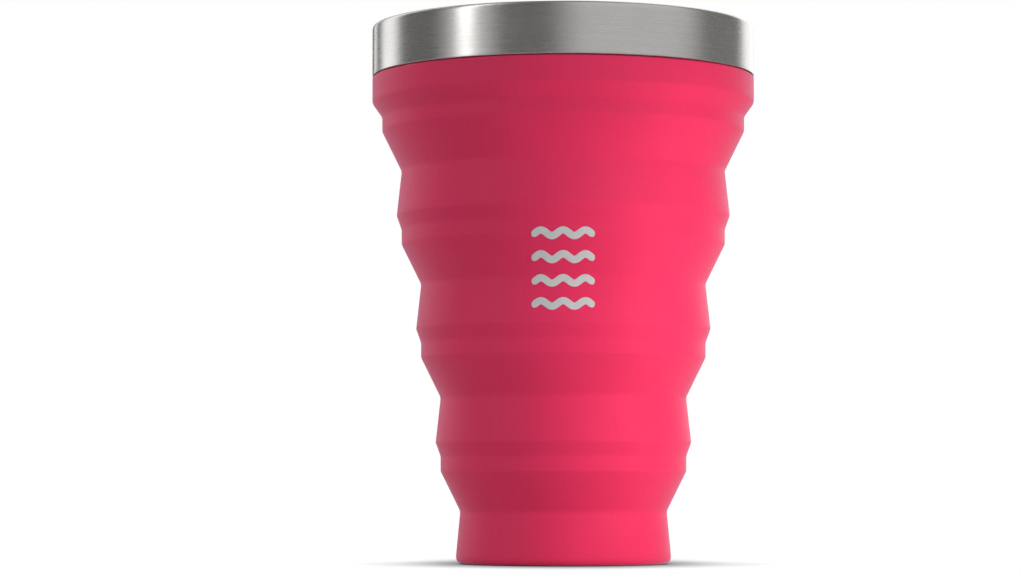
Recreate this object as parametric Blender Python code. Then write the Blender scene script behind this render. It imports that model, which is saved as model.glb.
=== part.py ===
"""Collapsible travel cup, standing open at its full height.

A rigid steel rim and three rigid silicone bands hang one below another on four thin folds, over a
stiffened base. Each fold turns inside out when its upper neighbour is pushed down over its lower one.
Metres, +Z up, origin on the cup's axis at the underside of the base. Every piece is turned about Z.
"""

import math

import bmesh
import bpy

# Driving dimensions
RIM_RADIUS = 0.0500  # outside of the steel and of the silicone collar under it
STEEL_HEIGHT = 0.0132
COLLAR_HEIGHT = 0.00685  # straight silicone between the steel and the shoulder
SHOULDER_INSET = 0.0026  # from the collar in to the top fold
TIERS = 4  # folds, and so joints
TIER_PITCH = 0.0296
TIER_INSET = 0.00513  # each tier is this much smaller in radius than the one above
CHAMFER_HEIGHT = 0.00365  # under the collar and under each band
FLARE = 0.0013  # a band grows by this from its waist down to its chamfer
FLARE_HEIGHT = 0.0117
STEP_HEIGHT = 0.00385  # upright part of a fold, above its taper
FOOT_HEIGHT = 0.01365
FOOT_ROUND = 0.0014

# Walls and clearances
BAND_WALL = 0.0020
FOLD_WALL = 0.0012
COLLAR_WALL = 0.0030
STEEL_WALL = 0.0005
LIP_WIDTH = 0.0038  # across the rolled lip
HEM_DEPTH = 0.0035  # how far the lip turns down inside, below its round
TONGUE_HEIGHT = 0.0030  # collar's edge, held between the two steel walls
FLOOR_TOP = 0.0052
POCKET_DEPTH = 0.0034  # under the floor, for the stiffener and its cover
POCKET_RADIUS = 0.0226
COVER_THICKNESS = 0.0014
STIFFENER_THICKNESS = 0.0014
STIFFENER_HOLE = 0.0040
GAP = 0.0003  # between pieces that touch

SEGMENTS = 48
LIP_POINTS = 9
SHARP_ANGLE = math.radians(30)

TAPER_HEIGHT = TIER_PITCH - FLARE_HEIGHT - CHAMFER_HEIGHT - STEP_HEIGHT
FOLD_HEIGHT = STEP_HEIGHT + TAPER_HEIGHT
COLLAR_BOTTOM = FOOT_HEIGHT + (TIERS - 1) * TIER_PITCH + FOLD_HEIGHT
STEEL_SEAT = CHAMFER_HEIGHT + COLLAR_HEIGHT  # bottom of the steel, above the collar's bottom

SILICONE = ((0.72, 0.036, 0.110), 0.60, 0.0)
STEEL = ((0.62, 0.60, 0.57), 0.32, 1.0)
PLASTIC = ((0.72, 0.72, 0.70), 0.50, 0.0)


def neck_radius(tier):
    """Outside radius of the waist that ends fold number tier, or of the top fold's step for 0."""
    return RIM_RADIUS - SHOULDER_INSET - tier * TIER_INSET


def waist_height(tier):
    """Height of the waist that ends fold number tier, counted from the top."""
    return FOOT_HEIGHT + (TIERS - tier) * TIER_PITCH


def clear_scene():
    for obj in list(bpy.data.objects):
        bpy.data.objects.remove(obj, do_unlink=True)


def make_material(name, look):
    colour, roughness, metallic = look
    material = bpy.data.materials.new(name)
    material.use_nodes = True
    shader = material.node_tree.nodes["Principled BSDF"]
    shader.inputs["Base Color"].default_value = (*colour, 1.0)
    shader.inputs["Roughness"].default_value = roughness
    shader.inputs["Metallic"].default_value = metallic
    return material


def body_empty(name, height):
    """The frame that a moving body's pieces hang on, on the cup's axis."""
    empty = bpy.data.objects.new(name, None)
    empty.location = (0, 0, height)
    empty.empty_display_size = 0.01
    bpy.context.scene.collection.objects.link(empty)
    return empty


def turned(name, outline, look, body):
    """A closed outline of (radius, height) points, turned about the body's axis."""
    bm = bmesh.new()
    points = [bm.verts.new((radius, 0, height)) for radius, height in outline]
    edges = [bm.edges.new((a, b)) for a, b in zip(points, points[1:])]
    if outline[0][0] > 0:
        edges.append(bm.edges.new((points[-1], points[0])))
    bmesh.ops.spin(
        bm,
        geom=points + edges,
        cent=(0, 0, 0),
        axis=(0, 0, 1),
        angle=2 * math.pi,
        steps=SEGMENTS,
        use_merge=True,
    )
    bmesh.ops.remove_doubles(bm, verts=bm.verts, dist=1e-6)
    bmesh.ops.recalc_face_normals(bm, faces=bm.faces)
    mesh = bpy.data.meshes.new(name)
    bm.to_mesh(mesh)
    bm.free()
    mesh.shade_smooth()
    mesh.set_sharp_from_angle(angle=SHARP_ANGLE)
    mesh.materials.append(make_material(name, look))
    obj = bpy.data.objects.new(name, mesh)
    obj.parent = body
    bpy.context.scene.collection.objects.link(obj)
    return obj


def fold_outline(tier):
    """Upright step and taper, from GAP under the piece above to GAP over the waist at height 0."""
    top, waist = neck_radius(tier - 1), neck_radius(tier)
    slope = (top - waist) / TAPER_HEIGHT
    foot = waist + slope * GAP
    return [
        (top, FOLD_HEIGHT - GAP),
        (top, TAPER_HEIGHT),
        (foot, GAP),
        (foot - FOLD_WALL, GAP),
        (top - FOLD_WALL, TAPER_HEIGHT),
        (top - FOLD_WALL, FOLD_HEIGHT - GAP),
    ]


def band_outline(tier):
    """Waist at height 0, widening down to the flare's edge, then a chamfer back in."""
    waist = neck_radius(tier)
    edge = -FLARE_HEIGHT
    bottom = edge - CHAMFER_HEIGHT
    return [
        (waist, 0),
        (waist + FLARE, edge),
        (waist, bottom),
        (waist - BAND_WALL, bottom),
        (waist + FLARE - BAND_WALL, edge),
        (waist - BAND_WALL, 0),
    ]


def collar_outline():
    """Straight collar with a thin tongue up into the steel, its shoulder's foot at height 0."""
    shoulder = RIM_RADIUS - SHOULDER_INSET
    inside = RIM_RADIUS - COLLAR_WALL
    top = STEEL_SEAT - GAP
    tongue_outer = RIM_RADIUS - STEEL_WALL - GAP
    tongue_inner = inside + STEEL_WALL + GAP
    return [
        (tongue_outer, top + TONGUE_HEIGHT),
        (tongue_outer, top),
        (RIM_RADIUS, top),
        (RIM_RADIUS, CHAMFER_HEIGHT),
        (shoulder, 0),
        (shoulder - BAND_WALL, 0),
        (inside, CHAMFER_HEIGHT),
        (inside, top),
        (tongue_inner, top),
        (tongue_inner, top + TONGUE_HEIGHT),
    ]


def arc(centre, radius, start, end, count):
    """Points on an arc about centre, a (radius, height) pair, with the angles in degrees."""
    angles = [math.radians(start + (end - start) * i / (count - 1)) for i in range(count)]
    return [
        (centre[0] + radius * math.cos(a), centre[1] + radius * math.sin(a)) for a in angles
    ]


def shell_outline():
    """Outer steel wall, over the rolled lip and down into a short hem, its bottom edge at height 0."""
    half = LIP_WIDTH / 2
    middle = (RIM_RADIUS - half, STEEL_HEIGHT - half)
    hem_bottom = middle[1] - HEM_DEPTH
    hem_face = middle[0] - half
    outside = arc(middle, half, 180, 0, LIP_POINTS)
    inside = arc(middle, half - STEEL_WALL, 0, 180, LIP_POINTS)
    return [
        (hem_face, hem_bottom),
        *outside,
        (RIM_RADIUS, 0),
        (RIM_RADIUS - STEEL_WALL, 0),
        *inside,
        (hem_face + STEEL_WALL, hem_bottom),
    ]


def ring_outline(outer, inner, bottom, top):
    return [(outer, top), (outer, bottom), (inner, bottom), (inner, top)]


def foot_outline():
    """Base cup: flared wall, rounded foot, floor, and the pocket under the floor."""
    waist = neck_radius(TIERS)
    foot = waist + FLARE
    well = foot - BAND_WALL
    round_middle = (foot - FOOT_ROUND, FOOT_ROUND)
    return [
        (0, FLOOR_TOP),
        (well - FOOT_ROUND, FLOOR_TOP),
        (well, FLOOR_TOP + FOOT_ROUND),
        (waist - BAND_WALL, FOOT_HEIGHT),
        (waist, FOOT_HEIGHT),
        *arc(round_middle, FOOT_ROUND, 0, -90, 4),
        (POCKET_RADIUS, 0),
        (POCKET_RADIUS, POCKET_DEPTH),
        (0, POCKET_DEPTH),
    ]


def disc_outline(radius, bottom, top):
    return [(0, top), (radius, top), (radius, bottom), (0, bottom)]


def build_base():
    body = body_empty("base_frame", 0)
    turned("base_cup", foot_outline(), SILICONE, body)
    stiffener_bottom = COVER_THICKNESS + GAP
    stiffener = ring_outline(
        POCKET_RADIUS - 2 * GAP,
        STIFFENER_HOLE,
        stiffener_bottom,
        stiffener_bottom + STIFFENER_THICKNESS,
    )
    turned("base_stiffener", stiffener, PLASTIC, body)
    turned("base_cover", disc_outline(POCKET_RADIUS - GAP, 0, COVER_THICKNESS), SILICONE, body)


def build_band(band_name, fold_name, tier):
    """A rigid band, and the fold that joins its lower edge to the next piece down."""
    body = body_empty(band_name + "_frame", waist_height(tier))
    turned(band_name, band_outline(tier), SILICONE, body)
    fold = turned(fold_name, fold_outline(tier + 1), SILICONE, body)
    fold.location = (0, 0, -TIER_PITCH)


def build_rim():
    body = body_empty("rim_frame", COLLAR_BOTTOM)
    turned("collar", collar_outline(), SILICONE, body)
    fold = turned("top_fold", fold_outline(1), SILICONE, body)
    fold.location = (0, 0, -FOLD_HEIGHT)
    shell = turned("rim_shell", shell_outline(), STEEL, body)
    shell.location = (0, 0, STEEL_SEAT)
    liner_inner = RIM_RADIUS - COLLAR_WALL
    liner_top = STEEL_HEIGHT - LIP_WIDTH / 2
    liner = turned(
        "rim_liner",
        ring_outline(liner_inner + STEEL_WALL, liner_inner, 0, liner_top),
        STEEL,
        body,
    )
    liner.location = (0, 0, STEEL_SEAT)
    core = turned(
        "rim_core",
        ring_outline(
            RIM_RADIUS - STEEL_WALL - GAP,
            liner_inner + STEEL_WALL + GAP,
            TONGUE_HEIGHT,
            liner_top - GAP,
        ),
        PLASTIC,
        body,
    )
    core.location = (0, 0, STEEL_SEAT)


def build_cup():
    clear_scene()
    build_base()
    build_band("lower_band", "bottom_fold", 3)
    build_band("middle_band", "lower_fold", 2)
    build_band("upper_band", "upper_fold", 1)
    build_rim()


build_cup()
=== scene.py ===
import math

import bpy
import numpy as np
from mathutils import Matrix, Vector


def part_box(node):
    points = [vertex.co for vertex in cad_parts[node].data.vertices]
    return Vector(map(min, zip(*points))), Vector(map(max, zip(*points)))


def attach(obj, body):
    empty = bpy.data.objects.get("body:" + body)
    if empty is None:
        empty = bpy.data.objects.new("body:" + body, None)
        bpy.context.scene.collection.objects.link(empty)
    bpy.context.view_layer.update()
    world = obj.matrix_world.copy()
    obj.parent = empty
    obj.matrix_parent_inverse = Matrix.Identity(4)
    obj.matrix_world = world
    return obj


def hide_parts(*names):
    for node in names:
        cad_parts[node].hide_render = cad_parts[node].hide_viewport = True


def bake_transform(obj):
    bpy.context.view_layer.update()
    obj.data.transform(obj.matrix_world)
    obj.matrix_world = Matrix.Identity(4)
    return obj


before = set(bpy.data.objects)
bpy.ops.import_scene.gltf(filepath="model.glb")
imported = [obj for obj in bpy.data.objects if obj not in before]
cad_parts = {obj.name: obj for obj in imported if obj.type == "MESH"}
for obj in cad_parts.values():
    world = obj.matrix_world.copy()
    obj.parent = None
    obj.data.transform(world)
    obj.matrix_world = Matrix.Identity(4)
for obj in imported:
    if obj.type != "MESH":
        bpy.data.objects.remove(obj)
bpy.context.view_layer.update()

# A collapsible travel cup. Its silicone is one moulding, made here in four lengths that meet halfway
# down a rigid band, one length across each joint. Metres, +Z up, -Y is the printed side.

# Camera: distance in front of the cup's axis, height over the floor, and aim
CAMERA_DISTANCE = 0.866
CAMERA_HEIGHT = 0.020
CAMERA_PITCH = math.radians(3.440)
CAMERA_TURN = math.radians(0.912)
LENS = 116.9  # mm, as the sensor's width
SENSOR_WIDTH = 36

# The silicone's section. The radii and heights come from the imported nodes.
FLARE = 0.0013  # a band grows by this from its waist down to its edge
CHAMFER_HEIGHT = 0.00365
STEP_HEIGHT = 0.00385
BAND_WALL = 0.0020
FOLD_WALL = 0.0012
COLLAR_WALL = 0.0030
WALL_CHANGE = 0.0007  # height over which a wall goes from thick to thin
TONGUE_INSET = 0.0008
FOOT_ROUND = 0.0021
FLOOR_TOP = 0.0052
WELL_ROUND = 0.0018
GATE_RADIUS = 0.0016  # moulding gate at the middle of the floor
GATE_DEPTH = 0.0002
CONVEX = 0.0020  # corner radii of the edges and of the hollows between them
CONCAVE = 0.0025
FINE = 0.0002  # corner radius of a crisp edge
GAP = 0.0003  # between neighbouring pieces
SAMPLE = 0.0006  # longest straight step along an outline
CORNER_POINTS = 6
SILICONE_SEGMENTS = 192
STEEL_SEGMENTS = 256
SHARP = math.radians(38)  # an edge that turns more than this is shaded sharp
WORN_TURN = math.radians(12)  # a corner that sticks out more than this is worn
ON_AXIS = 1e-9  # a point nearer to the axis than this lies on it

# Rings moulded in the base cover
COVER_RINGS = (0.82, 0.42)  # of the cover's radius
RING_HALF_WIDTH = 0.0007  # at the surface, and at the bottom of its groove
RING_HALF_FLOOR = 0.0004
RING_DEPTH = 0.0003

STEEL_WALL = 0.0005
LIP_WIDTH = 0.0038
LIP_OUTER = 0.0010  # rounds of the lip, outside and inside
LIP_INNER = 0.0018
HEM_DEPTH = 0.0035

# Printed mark: four waves
MARK_CENTRE = 0.0745
MARK_WAVES = 4
MARK_PITCH = 0.0058
MARK_STROKE = 0.0018
MARK_WIDTH = 0.0158
WAVE_HEIGHT = 0.0007
WAVE_LENGTH = 0.0056
PRINT_PROUD = 0.00004
PRINT_THICKNESS = 0.00009
STRAIGHT_COLUMNS = 56  # grid of one wave: columns along its straight part and over each round end
END_COLUMNS = 12
ROWS = 15
TIP_WIDTH = 0.03  # of the stroke's width, left at the very end of a wave

# Each joint's length of silicone: its name, upper node, fold, lower node and the two bodies
LENGTHS = (
    ("silicone_top", "collar", "top_fold", "upper_band", "rim", "upper_tier"),
    ("silicone_upper", "upper_band", "upper_fold", "middle_band", "upper_tier", "middle_tier"),
    ("silicone_middle", "middle_band", "lower_fold", "lower_band", "middle_tier", "lower_tier"),
    ("silicone_base", "lower_band", "bottom_fold", "base_cup", "lower_tier", "base"),
)

BOXES = {name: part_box(name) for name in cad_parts}
FOLDS = {upper: fold for _, upper, fold, *_ in LENGTHS}


def radius(node):
    return BOXES[node][1].x


def bottom(node):
    return BOXES[node][0].z


def top(node):
    return BOXES[node][1].z


def make_camera():
    data = bpy.data.cameras.new("camera")
    data.lens = LENS
    data.sensor_width = SENSOR_WIDTH
    data.clip_start = 0.01
    data.clip_end = 100
    camera = bpy.data.objects.new("camera", data)
    camera.location = (0, -CAMERA_DISTANCE, CAMERA_HEIGHT)
    camera.rotation_euler = (math.pi / 2 + CAMERA_PITCH, 0, CAMERA_TURN)
    bpy.context.scene.collection.objects.link(camera)
    bpy.context.scene.camera = camera


# Outlines and turned shapes


def rounded(corners):
    """(radius, height, wear) along an open line of (radius, height, fillet) corners.

    Straight runs are cut into short steps. Wear is 1 on the corners that stick out, on a line that
    runs down the outside and up the inside.
    """
    points = [(*corners[0][:2], 0.0)]
    for before, here, after in zip(corners, corners[1:], corners[2:]):
        corner = np.array(here[:2])
        arriving = corner - before[:2]
        leaving = np.array(after[:2]) - corner
        arriving_length = np.linalg.norm(arriving)
        leaving_length = np.linalg.norm(leaving)
        arriving /= arriving_length
        leaving /= leaving_length
        cross = arriving[0] * leaving[1] - arriving[1] * leaving[0]
        turn = math.atan2(cross, arriving @ leaving)
        reach = min(here[2] * math.tan(abs(turn) / 2), arriving_length / 2, leaving_length / 2)
        start, end = corner - arriving * reach, corner + leaving * reach
        run_to(points, start)
        if reach > 0:
            wear = 1.0 if turn < -WORN_TURN else 0.0
            for i in range(1, CORNER_POINTS):
                t = i / CORNER_POINTS
                at = (1 - t) ** 2 * start + 2 * t * (1 - t) * corner + t**2 * end
                points.append((*at, wear))
            points.append((*end, 0.0))
    run_to(points, np.array(corners[-1][:2]))
    return points


def run_to(points, end):
    """Adds the straight run from the last point to end."""
    start = np.array(points[-1][:2])
    length = np.linalg.norm(end - start)
    steps = math.ceil(length / SAMPLE)
    for i in range(1, steps + 1):
        points.append((*(start + (end - start) * i / steps), 0.0))


def turned(name, outline, segments, look):
    """A closed outline turned about Z. One that starts and ends on the axis is closed by it."""
    starts_on_axis = outline[0][0] < ON_AXIS
    rings = []
    verts, wear, faces = [], [], []
    for distance, height, worn in outline:
        if distance < ON_AXIS:
            rings.append([len(verts)] * segments)
            verts.append((0, 0, height))
            wear.append(worn)
            continue
        rings.append(list(range(len(verts), len(verts) + segments)))
        for i in range(segments):
            angle = 2 * math.pi * i / segments
            verts.append((distance * math.cos(angle), distance * math.sin(angle), height))
            wear.append(worn)
    pairs = list(zip(rings, rings[1:]))
    if not starts_on_axis:
        pairs.append((rings[-1], rings[0]))
    for upper, lower in pairs:
        for i in range(segments):
            j = (i + 1) % segments
            corners = [upper[i], lower[i], lower[j], upper[j]]
            faces.append(list(dict.fromkeys(corners)))
    return mesh_object(name, verts, faces, look, wear)


def mesh_object(name, verts, faces, look, wear=None):
    mesh = bpy.data.meshes.new(name)
    mesh.from_pydata(verts, [], faces)
    mesh.validate()
    mesh.shade_smooth()
    mesh.set_sharp_from_angle(angle=SHARP)
    if wear:
        mesh.attributes.new("wear", "FLOAT", "POINT").data.foreach_set("value", wear)
    mesh.materials.append(look)
    obj = bpy.data.objects.new(name, mesh)
    bpy.context.scene.collection.objects.link(obj)
    return obj


# The silicone moulding


def band_waist(node):
    """Radius of a band's or the base's waist, at its top."""
    return radius(node) - FLARE


def band_middle(node):
    """(radius, height) halfway down a band's flare, where two lengths of silicone meet."""
    height = (top(node) + bottom(node) + CHAMFER_HEIGHT) / 2
    return band_waist(node) + FLARE / 2, height


def upper_outer(node):
    """Outer corners of a collar's or band's chamfer, down to its fold."""
    edge = bottom(node) + CHAMFER_HEIGHT
    return [
        (radius(node), edge, CONVEX),
        (radius(FOLDS[node]), bottom(node), CONCAVE),
    ]


def fold_outer(fold, upper, lower):
    return [
        (radius(fold), bottom(upper) - STEP_HEIGHT, CONVEX),
        (band_waist(lower), top(lower), CONCAVE),
    ]


def upper_inner(node):
    """Inner corners from a fold up to the top of its length."""
    wall = COLLAR_WALL if node == "collar" else BAND_WALL
    neck = radius(FOLDS[node])
    return [
        (neck - FOLD_WALL, bottom(node) - WALL_CHANGE, CONVEX),
        (neck - BAND_WALL, bottom(node) + WALL_CHANGE, CONVEX),
        (radius(node) - wall, bottom(node) + CHAMFER_HEIGHT, CONCAVE),
    ]


def fold_inner(fold, upper, lower):
    waist = band_waist(lower)
    return [
        (waist - BAND_WALL, top(lower) - WALL_CHANGE, CONVEX),
        (waist - FOLD_WALL, top(lower) + WALL_CHANGE, CONVEX),
        (radius(fold) - FOLD_WALL, bottom(upper) - STEP_HEIGHT, CONCAVE),
    ]


def collar_top():
    """Corners over the collar's top, from inside to outside, with the tongue that the steel holds."""
    outside = radius("collar")
    seat = bottom("rim_shell") - GAP
    inside = outside - COLLAR_WALL
    tongue_outer, tongue_inner = outside - TONGUE_INSET, inside + TONGUE_INSET
    tongue_top = top("collar")
    return [
        (inside, seat, FINE),
        (tongue_inner, seat, 0),
        (tongue_inner, tongue_top, FINE),
        (tongue_outer, tongue_top, FINE),
        (tongue_outer, seat, 0),
        (outside, seat, CONVEX),
    ]


def foot_corners():
    """Corners from the foot's outer edge round the underside, its pocket and the floor of the cup."""
    foot = radius("base_cup")
    pocket = radius("base_cover") + GAP
    pocket_top = top("base_stiffener") + GAP
    return [
        (foot, 0, FOOT_ROUND),
        (pocket, 0, CONVEX),
        (pocket, pocket_top, FINE),
        (0, pocket_top, 0),
    ], [
        (0, FLOOR_TOP - GATE_DEPTH, 0),
        (GATE_RADIUS, FLOOR_TOP - GATE_DEPTH, FINE),
        (GATE_RADIUS + GATE_DEPTH, FLOOR_TOP, FINE),
        (foot - BAND_WALL, FLOOR_TOP, WELL_ROUND),
    ]


def silicone_outline(upper, fold, lower):
    """Closed outline of one length: down its outside, then up its inside."""
    outer = upper_outer(upper) + fold_outer(fold, upper, lower)
    inner = fold_inner(fold, upper, lower) + upper_inner(upper)
    if upper == "collar":
        over_top = collar_top()
        half = len(over_top) // 2  # the outline starts halfway across the tongue
        outer = over_top[half:] + outer
        inner = inner + over_top[:half]
    else:
        middle_radius, height = band_middle(upper)
        outer = [(middle_radius, height, 0)] + outer
        inner = inner + [(middle_radius - BAND_WALL, height, 0)]
    if lower == "base_cup":
        under, floor = foot_corners()
        # starts on the axis inside the cup and ends on the axis under its floor
        return rounded(floor + inner) + rounded(outer + under)
    middle_radius, height = band_middle(lower)
    outer = outer + [(middle_radius, height, 0)]
    inner = [(middle_radius - BAND_WALL, height, 0)] + inner
    return rounded(outer) + rounded(inner)


def make_silicone(look):
    for name, upper, fold, lower, upper_body, lower_body in LENGTHS:
        piece = turned(name, silicone_outline(upper, fold, lower), SILICONE_SEGMENTS, look)
        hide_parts(upper, fold)
        if lower == "base_cup":
            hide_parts(lower)
        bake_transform(piece)


def make_base_cover(look):
    """Disc under the base, with two moulded rings."""
    edge, thickness = radius("base_cover"), top("base_cover")
    corners = [(0, thickness, 0), (edge, thickness, FINE), (edge, 0, CONVEX)]
    for ring in COVER_RINGS:
        middle = edge * ring
        corners += [
            (middle + RING_HALF_WIDTH, 0, FINE),
            (middle + RING_HALF_FLOOR, RING_DEPTH, FINE),
            (middle - RING_HALF_FLOOR, RING_DEPTH, FINE),
            (middle - RING_HALF_WIDTH, 0, FINE),
        ]
    corners.append((0, 0, 0))
    piece = turned("base_cover_disc", rounded(corners), SILICONE_SEGMENTS, look)
    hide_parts("base_cover")
    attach(piece, "base")


# The printed mark


def printed_outline():
    """Heights, rising, and radii of the silicone's outside on the two lengths that carry the mark."""
    points = []
    for _, upper, fold, lower, *_ in LENGTHS[1:3]:
        middle = [(*band_middle(upper), 0)]
        corners = middle + upper_outer(upper) + fold_outer(fold, upper, lower)
        points += rounded(corners + [(*band_middle(lower), 0)])
    points.sort(key=lambda point: point[1])
    return [point[1] for point in points], [point[0] for point in points]


def wave_mesh(centre):
    """(along, height) grid of one wave with round ends, in the flat: columns along it, rows across."""
    half = MARK_STROKE / 2
    straight = MARK_WIDTH / 2 - half
    columns = []
    ends = [
        straight + half * math.sin(math.pi / 2 * i / END_COLUMNS) for i in range(1, END_COLUMNS + 1)
    ]
    inner = list(np.linspace(-straight, straight, STRAIGHT_COLUMNS))
    stations = [-x for x in reversed(ends)] + inner + ends
    for along in stations:
        past = max(0.0, abs(along) - straight)
        width = math.sqrt(max(half**2 - past**2, (half * TIP_WIDTH) ** 2))
        phase = 2 * math.pi * along / WAVE_LENGTH
        slope = -WAVE_HEIGHT * 2 * math.pi / WAVE_LENGTH * math.sin(phase)
        across = np.array((-slope, 1.0)) / math.hypot(slope, 1.0)
        middle = np.array((along, centre + WAVE_HEIGHT * math.cos(phase)))
        columns.append([middle + across * width * v for v in np.linspace(-1, 1, ROWS)])
    return columns


def make_mark(look):
    outline = printed_outline()
    verts, faces = [], []
    for i in range(MARK_WAVES):
        centre = MARK_CENTRE + (i - (MARK_WAVES - 1) / 2) * MARK_PITCH
        columns = wave_mesh(centre)
        first = len(verts)
        for column in columns:
            distances = np.interp([point[1] for point in column], *outline) + PRINT_PROUD
            for (along, height), distance in zip(column, distances):
                angle = along / distance
                verts.append((distance * math.sin(angle), -distance * math.cos(angle), height))
        for c in range(len(columns) - 1):
            for r in range(ROWS - 1):
                a = first + c * ROWS + r
                faces.append((a, a + ROWS, a + ROWS + 1, a + 1))
    mark = mesh_object("printed_mark", verts, faces, look)
    body = mark.modifiers.new("body", "SOLIDIFY")
    body.thickness = PRINT_THICKNESS
    body.offset = -1
    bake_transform(mark)


# The steel rim


def make_rim(look):
    outside, foot = radius("rim_shell"), bottom("rim_shell")
    lip_top = top("rim_shell")
    hem_face = outside - LIP_WIDTH
    hem = lip_top - LIP_WIDTH / 2 - HEM_DEPTH
    start = (foot + lip_top) / 2  # the outline starts and ends halfway up the outside
    corners = [
        (outside, start, 0),
        (outside, foot, FINE),
        (outside - STEEL_WALL, foot, FINE),
        (outside - STEEL_WALL, lip_top - STEEL_WALL, LIP_OUTER - STEEL_WALL),
        (hem_face + STEEL_WALL, lip_top - STEEL_WALL, LIP_INNER - STEEL_WALL),
        (hem_face + STEEL_WALL, hem, FINE),
        (hem_face, hem, FINE),
        (hem_face, lip_top, LIP_INNER),
        (outside, lip_top, LIP_OUTER),
        (outside, start + FINE, 0),
    ]
    shell = turned("steel_rim", rounded(corners), STEEL_SEGMENTS, look)
    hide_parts("rim_shell")
    liner_outer, liner_top = radius("rim_liner"), top("rim_liner")
    inner = liner_outer - STEEL_WALL
    liner_start = (foot + liner_top) / 2
    liner_corners = [
        (liner_outer, liner_start, 0),
        (liner_outer, foot, FINE),
        (inner, foot, FINE),
        (inner, liner_top, FINE),
        (liner_outer, liner_top, FINE),
        (liner_outer, liner_start + FINE, 0),
    ]
    liner = turned("steel_liner", rounded(liner_corners), STEEL_SEGMENTS, look)
    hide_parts("rim_liner")
    for piece in (shell, liner):
        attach(piece, "rim")


# Materials. Colours are linear red, green, blue and alpha.
SILICONE_DEEP = (0.735, 0.0237, 0.1060, 1)
SILICONE_LIGHT = (0.780, 0.0264, 0.1160, 1)
SILICONE_SPECK = (0.66, 0.026, 0.107, 1)
SILICONE_WORN = (0.85, 0.075, 0.170, 1)
SILICONE_SHEEN = (0.90, 0.80, 1.0, 1.0)
STEEL_DARK = (0.500, 0.490, 0.478, 1)
STEEL_LIGHT = (0.585, 0.575, 0.560, 1)
STEEL_STREAK = (0.66, 0.65, 0.63, 1)
PLASTIC_DARK = (0.70, 0.70, 0.675, 1)
PLASTIC_LIGHT = (0.76, 0.76, 0.74, 1)
INK_DARK = (0.530, 0.600, 0.600, 1)
INK_LIGHT = (0.570, 0.640, 0.640, 1)
WHITE = (1, 1, 1, 1)
LONG_STREAKS = (1, 1, 160)  # squeezes noise in height, so that it runs round the rim
SHORT_STREAKS = (1, 1, 70)
MIX_FACTOR, MIX_FIRST, MIX_SECOND, MIX_RESULT = 0, 6, 7, 2  # colour sockets of a Mix node
PLASTIC_NODES = ("rim_core", "base_stiffener")


def add_node(tree, kind, inputs=(), **settings):
    """Adds a node. inputs maps a socket to its value, or to the socket that feeds it."""
    made = tree.nodes.new(kind)
    for name, value in settings.items():
        setattr(made, name, value)
    for socket, value in dict(inputs).items():
        if isinstance(value, bpy.types.NodeSocket):
            tree.links.new(value, made.inputs[socket])
        else:
            made.inputs[socket].default_value = value
    return made


def principled(name, **values):
    """A new material's tree and its shader, with constant values set on the shader's sockets."""
    look = bpy.data.materials.new(name)
    look.use_nodes = True
    shader = look.node_tree.nodes["Principled BSDF"]
    for socket, value in values.items():
        shader.inputs[socket.replace("_", " ")].default_value = value
    return look, look.node_tree, shader


def place(tree, scale=(1, 1, 1)):
    """Where a point is on its object, stretched by scale."""
    where = add_node(tree, "ShaderNodeTexCoord").outputs["Object"]
    return add_node(tree, "ShaderNodeMapping", {"Vector": where, "Scale": scale}).outputs["Vector"]


def noise(tree, vector, size, detail=2.0, rough=0.5):
    """Noise of 0 to 1, with features of the given size in metres."""
    inputs = {"Vector": vector, "Scale": 1 / size, "Detail": detail, "Roughness": rough}
    return add_node(tree, "ShaderNodeTexNoise", inputs).outputs["Fac"]


def spread(tree, value, low, high, start=0.35, end=0.65):
    """Maps a value from start..end, by default the middle of a noise's range, on to low..high."""
    inputs = {"Value": value, "From Min": start, "From Max": end, "To Min": low, "To Max": high}
    return add_node(tree, "ShaderNodeMapRange", inputs).outputs["Result"]


def mixed(tree, factor, first, second):
    """Colour between first and second."""
    inputs = {MIX_FACTOR: factor, MIX_FIRST: first, MIX_SECOND: second}
    return add_node(tree, "ShaderNodeMix", inputs, data_type="RGBA").outputs[MIX_RESULT]


def combined(tree, first, second, operation="ADD"):
    """Result of a sum, or of another Math operation, on two values."""
    return add_node(tree, "ShaderNodeMath", {0: first, 1: second}, operation=operation).outputs[0]


def bump(tree, shader, height, depth, strength):
    """Raises the shader's surface by height, a value of 0 to 1, times depth in metres."""
    inputs = {"Height": height, "Distance": depth, "Strength": strength}
    normal = add_node(tree, "ShaderNodeBump", inputs).outputs["Normal"]
    tree.links.new(normal, shader.inputs["Normal"])


def silicone_look():
    """Matte moulded silicone: fine grain, soft cloudy tone, corners rubbed a little paler."""
    look, tree, shader = principled(
        "silicone",
        Specular_IOR_Level=0.32,
        Sheen_Weight=0.40,
        Sheen_Roughness=0.38,
        Sheen_Tint=SILICONE_SHEEN,
    )
    where = place(tree)
    cloud = noise(tree, where, 0.030, detail=3.0)
    mottle = noise(tree, where, 0.0011, detail=4.0, rough=0.6)
    grain = noise(tree, where, 0.00016, detail=2.0)
    tone = spread(tree, cloud, 0.0, 1.0)
    colour = mixed(tree, tone, SILICONE_DEEP, SILICONE_LIGHT)
    speck = spread(tree, mottle, 0.0, 0.10)
    colour = mixed(tree, speck, colour, SILICONE_SPECK)
    worn = add_node(tree, "ShaderNodeAttribute", attribute_name="wear").outputs["Fac"]
    worn = combined(tree, worn, spread(tree, mottle, 0.0, 0.05), "MULTIPLY")
    colour = mixed(tree, worn, colour, SILICONE_WORN)
    tree.links.new(colour, shader.inputs["Base Color"])
    tree.links.new(spread(tree, mottle, 0.54, 0.64), shader.inputs["Roughness"])
    height = combined(tree, mottle, combined(tree, grain, 0.5, "MULTIPLY"))
    bump(tree, shader, height, 0.00002, 0.5)
    return look


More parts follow.
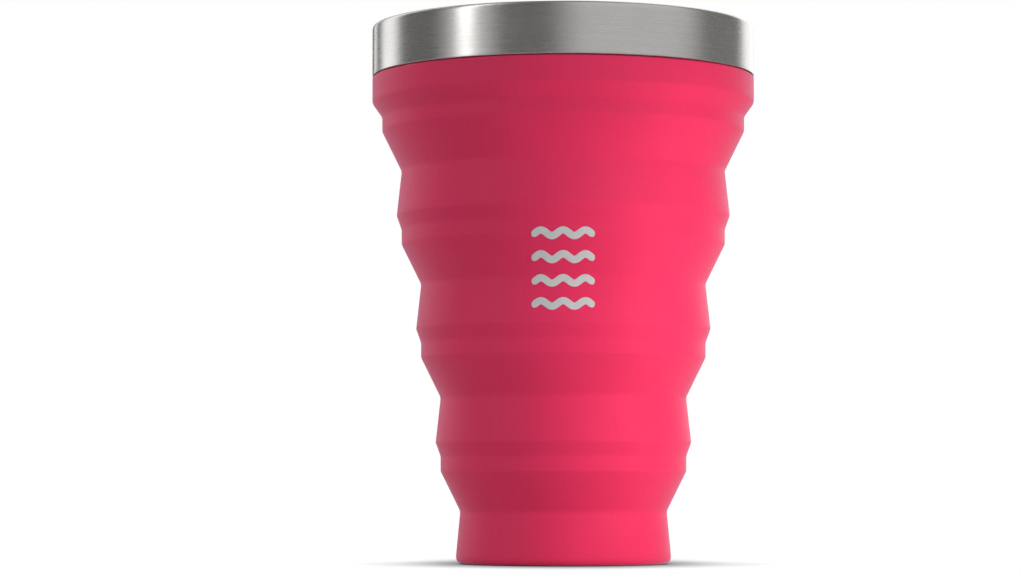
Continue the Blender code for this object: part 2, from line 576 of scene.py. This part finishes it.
def steel_look():
    """Stainless steel, brushed round the rim."""
    look, tree, shader = principled(
        "brushed_steel",
        Metallic=1.0,
        Anisotropic=0.8,
        Anisotropic_Rotation=0.25,
    )
    tangent = add_node(tree, "ShaderNodeTangent", direction_type="RADIAL", axis="Z")
    tree.links.new(tangent.outputs[0], shader.inputs["Tangent"])
    long_streak = noise(tree, place(tree, LONG_STREAKS), 0.026, detail=4.0, rough=0.65)
    short_streak = noise(tree, place(tree, SHORT_STREAKS), 0.0060, detail=3.0, rough=0.6)
    smudge = noise(tree, place(tree), 0.012, detail=2.0)
    tone = spread(tree, long_streak, 0.0, 1.0, 0.3, 0.7)
    colour = mixed(tree, tone, STEEL_DARK, STEEL_LIGHT)
    pale = spread(tree, short_streak, 0.0, 0.35, 0.45, 0.75)
    colour = mixed(tree, pale, colour, STEEL_STREAK)
    tree.links.new(colour, shader.inputs["Base Color"])
    roughness = combined(
        tree, spread(tree, short_streak, 0.25, 0.31), spread(tree, smudge, -0.015, 0.02)
    )
    tree.links.new(roughness, shader.inputs["Roughness"])
    bump(tree, shader, combined(tree, long_streak, short_streak), 0.00002, 0.35)
    return look


def plastic_look():
    """Plain moulded polypropylene, slightly cloudy, with a fine texture."""
    look, tree, shader = principled("moulded_plastic", Specular_IOR_Level=0.45)
    where = place(tree)
    cloud = spread(tree, noise(tree, where, 0.012, detail=3.0), 0.0, 1.0)
    grain = noise(tree, where, 0.0003, detail=3.0)
    colour = mixed(tree, cloud, PLASTIC_DARK, PLASTIC_LIGHT)
    tree.links.new(colour, shader.inputs["Base Color"])
    tree.links.new(spread(tree, grain, 0.42, 0.55), shader.inputs["Roughness"])
    bump(tree, shader, grain, 0.00003, 0.5)
    return look


def print_look():
    """Pale grey ink, a little uneven."""
    look, tree, shader = principled("printed_ink", Specular_IOR_Level=0.4)
    where = place(tree)
    body = spread(tree, noise(tree, where, 0.0016, detail=4.0), 0.0, 1.0)
    grain = noise(tree, where, 0.00012, detail=2.0)
    colour = mixed(tree, body, INK_DARK, INK_LIGHT)
    tree.links.new(colour, shader.inputs["Base Color"])
    tree.links.new(spread(tree, grain, 0.45, 0.60), shader.inputs["Roughness"])
    bump(tree, shader, grain, 0.00001, 0.4)
    return look


# Studio

# Soft panels of light that stand round the cup: azimuth from the camera's side towards +X, half
# width and soft edge in degrees, strength
PANELS = (
    (-60.5, 2.4, 4, 2.8),
    (-59, 4, 20, 0.60),
    (43, 25, 30, 0.72),
    (104, 14, 20, 0.12),
    (-129, 5, 10, 1.6),
    (-156, 2, 2.5, 1.3),
    (154, 8, 16, 1.4),
)
AMBIENT = 0.118
OVERHEAD = 0.28
PANEL_LOW, PANEL_HIGH = 0.75, 0.98  # sine of the elevation where the panels fade out

# Soft boxes that stand close to the cup and that gloss doesn't show: name, azimuth as above,
# distance from the axis, height, width, depth, power and colour
BOX_LIGHTS = (
    ("key", 50.5, 0.13, 0.053, 0.06, 0.10, 0.098, (1.0, 0.78, 0.78)),
    ("kicker", 105, 0.15, 0.010, 0.05, 0.04, 0.014, (1.0, 1.0, 1.0)),
    ("left_fill", -128, 0.30, 0.090, 0.15, 0.15, 0.070, (0.90, 0.94, 1.0)),
    ("rear_fill", 186, 0.35, 0.140, 0.20, 0.12, 0.200, (1.0, 1.0, 1.0)),
)

# Narrow light straight down into the mouth
MOUTH_LIGHT_HEIGHT = 0.45
MOUTH_LIGHT_SIZE = 0.03
MOUTH_LIGHT_POWER = 3.5
MOUTH_LIGHT_CONE = math.radians(17)
MOUTH_LIGHT_EDGE = 0.5  # softness of the cone's edge

FLOOR_HALF = 6.0
FLOOR_DROP = 0.00005  # under the foot
FLOOR_BOUNCE = 0.62  # part of the light that the floor throws back on to the cup
CONTACT_REACH = 0.030  # how far from the base its walls shade the floor
CONTACT_SAMPLES = 8
SHADE_DEPTH = 0.95  # of the soft oval shadow under the base
SHADE_CENTRE = (-0.001, 0.015, 0)
SHADE_WIDTH = 0.046  # half of the oval's width, and of its depth from front to back
SHADE_LENGTH = 0.084


def make_world():
    """Soft even light with brighter panels round the cup. The camera sees a plain white backdrop."""
    world = bpy.data.worlds.new("studio")
    bpy.context.scene.world = world
    world.use_nodes = True
    tree = world.node_tree
    tree.nodes.clear()
    direction = add_node(tree, "ShaderNodeTexCoord").outputs["Generated"]
    flat = add_node(tree, "ShaderNodeVectorMath", {0: direction, 1: (1, 1, 0)}, operation="MULTIPLY")
    flat = add_node(tree, "ShaderNodeVectorMath", {0: flat.outputs[0]}, operation="NORMALIZE")
    up = add_node(tree, "ShaderNodeSeparateXYZ", {0: direction}).outputs["Z"]
    total = spread(tree, up, AMBIENT, OVERHEAD, 0.2, 1.0)
    panels = None
    for azimuth, half, soft, strength in PANELS:
        angle = math.radians(azimuth)
        facing = (math.sin(angle), -math.cos(angle), 0)
        inputs = {0: flat.outputs[0], 1: facing}
        dot = add_node(tree, "ShaderNodeVectorMath", inputs, operation="DOT_PRODUCT")
        inputs = {
            "Value": dot.outputs["Value"],
            "From Min": math.cos(math.radians(half + soft)),
            "From Max": math.cos(math.radians(half)),
            "To Min": 0.0,
            "To Max": strength,
        }
        panel = add_node(tree, "ShaderNodeMapRange", inputs, interpolation_type="SMOOTHSTEP")
        shine = panel.outputs["Result"]
        panels = shine if panels is None else combined(tree, panels, shine)
    fade = spread(tree, up, 1.0, 0.0, PANEL_LOW, PANEL_HIGH)
    total = combined(tree, total, combined(tree, panels, fade, "MULTIPLY"))
    seen = add_node(tree, "ShaderNodeLightPath").outputs["Is Camera Ray"]
    light = add_node(tree, "ShaderNodeBackground", {"Color": WHITE, "Strength": total})
    backdrop = add_node(tree, "ShaderNodeBackground", {"Color": WHITE, "Strength": 1.0})
    inputs = {0: seen, 1: light.outputs[0], 2: backdrop.outputs[0]}
    mix = add_node(tree, "ShaderNodeMixShader", inputs)
    add_node(tree, "ShaderNodeOutputWorld", {"Surface": mix.outputs[0]})


def make_box_lights():
    for name, azimuth, distance, height, width, depth, power, colour in BOX_LIGHTS:
        angle = math.radians(azimuth)
        data = bpy.data.lights.new(name, "AREA")
        data.shape = "RECTANGLE"
        data.size = width
        data.size_y = depth
        data.energy = power
        data.color = colour
        light = bpy.data.objects.new(name, data)
        light.location = (distance * math.sin(angle), -distance * math.cos(angle), height)
        light.rotation_euler = (math.pi / 2, 0, angle)
        light.visible_camera = False
        light.visible_glossy = False
        bpy.context.scene.collection.objects.link(light)


def make_mouth_light():
    data = bpy.data.lights.new("mouth", "SPOT")
    data.energy = MOUTH_LIGHT_POWER
    data.spot_size = MOUTH_LIGHT_CONE
    data.spot_blend = MOUTH_LIGHT_EDGE
    data.shadow_soft_size = MOUTH_LIGHT_SIZE
    light = bpy.data.objects.new("mouth", data)
    light.location = (0, 0, MOUTH_LIGHT_HEIGHT)
    light.visible_camera = False
    light.visible_glossy = False
    bpy.context.scene.collection.objects.link(light)


def make_floor():
    """Pale floor that looks as white as the backdrop, and throws back less light than it shows."""
    corners = ((-1, -1), (1, -1), (1, 1), (-1, 1))
    verts = [(x * FLOOR_HALF, y * FLOOR_HALF, -FLOOR_DROP) for x, y in corners]
    look = bpy.data.materials.new("floor")
    look.use_nodes = True
    tree = look.node_tree
    tree.nodes.clear()
    bounce = add_node(tree, "ShaderNodeBsdfDiffuse", {"Color": (*[FLOOR_BOUNCE] * 3, 1)})
    where = add_node(tree, "ShaderNodeTexCoord").outputs["Object"]
    where = add_node(tree, "ShaderNodeVectorMath", {0: where, 1: SHADE_CENTRE}, operation="SUBTRACT")
    size = (1 / SHADE_WIDTH, 1 / SHADE_LENGTH, 0)
    where = add_node(tree, "ShaderNodeVectorMath", {0: where.outputs[0], 1: size}, operation="MULTIPLY")
    inputs = {0: where.outputs[0], 1: where.outputs[0]}
    squared = add_node(tree, "ShaderNodeVectorMath", inputs, operation="DOT_PRODUCT")
    shade = spread(tree, squared.outputs["Value"], 1.0, 0.0, 0.0, 1.0)
    shade = combined(tree, combined(tree, shade, shade, "MULTIPLY"), SHADE_DEPTH, "MULTIPLY")
    inputs = {"Distance": CONTACT_REACH}
    contact = add_node(tree, "ShaderNodeAmbientOcclusion", inputs, samples=CONTACT_SAMPLES)
    white = combined(tree, contact.outputs["AO"], combined(tree, 1.0, shade, "SUBTRACT"), "MULTIPLY")
    shown = add_node(tree, "ShaderNodeEmission", {"Color": WHITE, "Strength": white})
    seen = add_node(tree, "ShaderNodeLightPath").outputs["Is Camera Ray"]
    mix = add_node(tree, "ShaderNodeMixShader", {0: seen, 1: bounce.outputs[0], 2: shown.outputs[0]})
    add_node(tree, "ShaderNodeOutputMaterial", {"Surface": mix.outputs[0]})
    mesh_object("floor", verts, [(0, 1, 2, 3)], look)


make_camera()
silicone = silicone_look()
make_silicone(silicone)
make_base_cover(silicone)
make_mark(print_look())
make_rim(steel_look())
plastic = plastic_look()
for name in PLASTIC_NODES:
    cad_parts[name].material_slots[0].material = plastic
make_world()
make_box_lights()
make_mouth_light()
make_floor()
bpy.context.scene.view_settings.view_transform = "Standard"
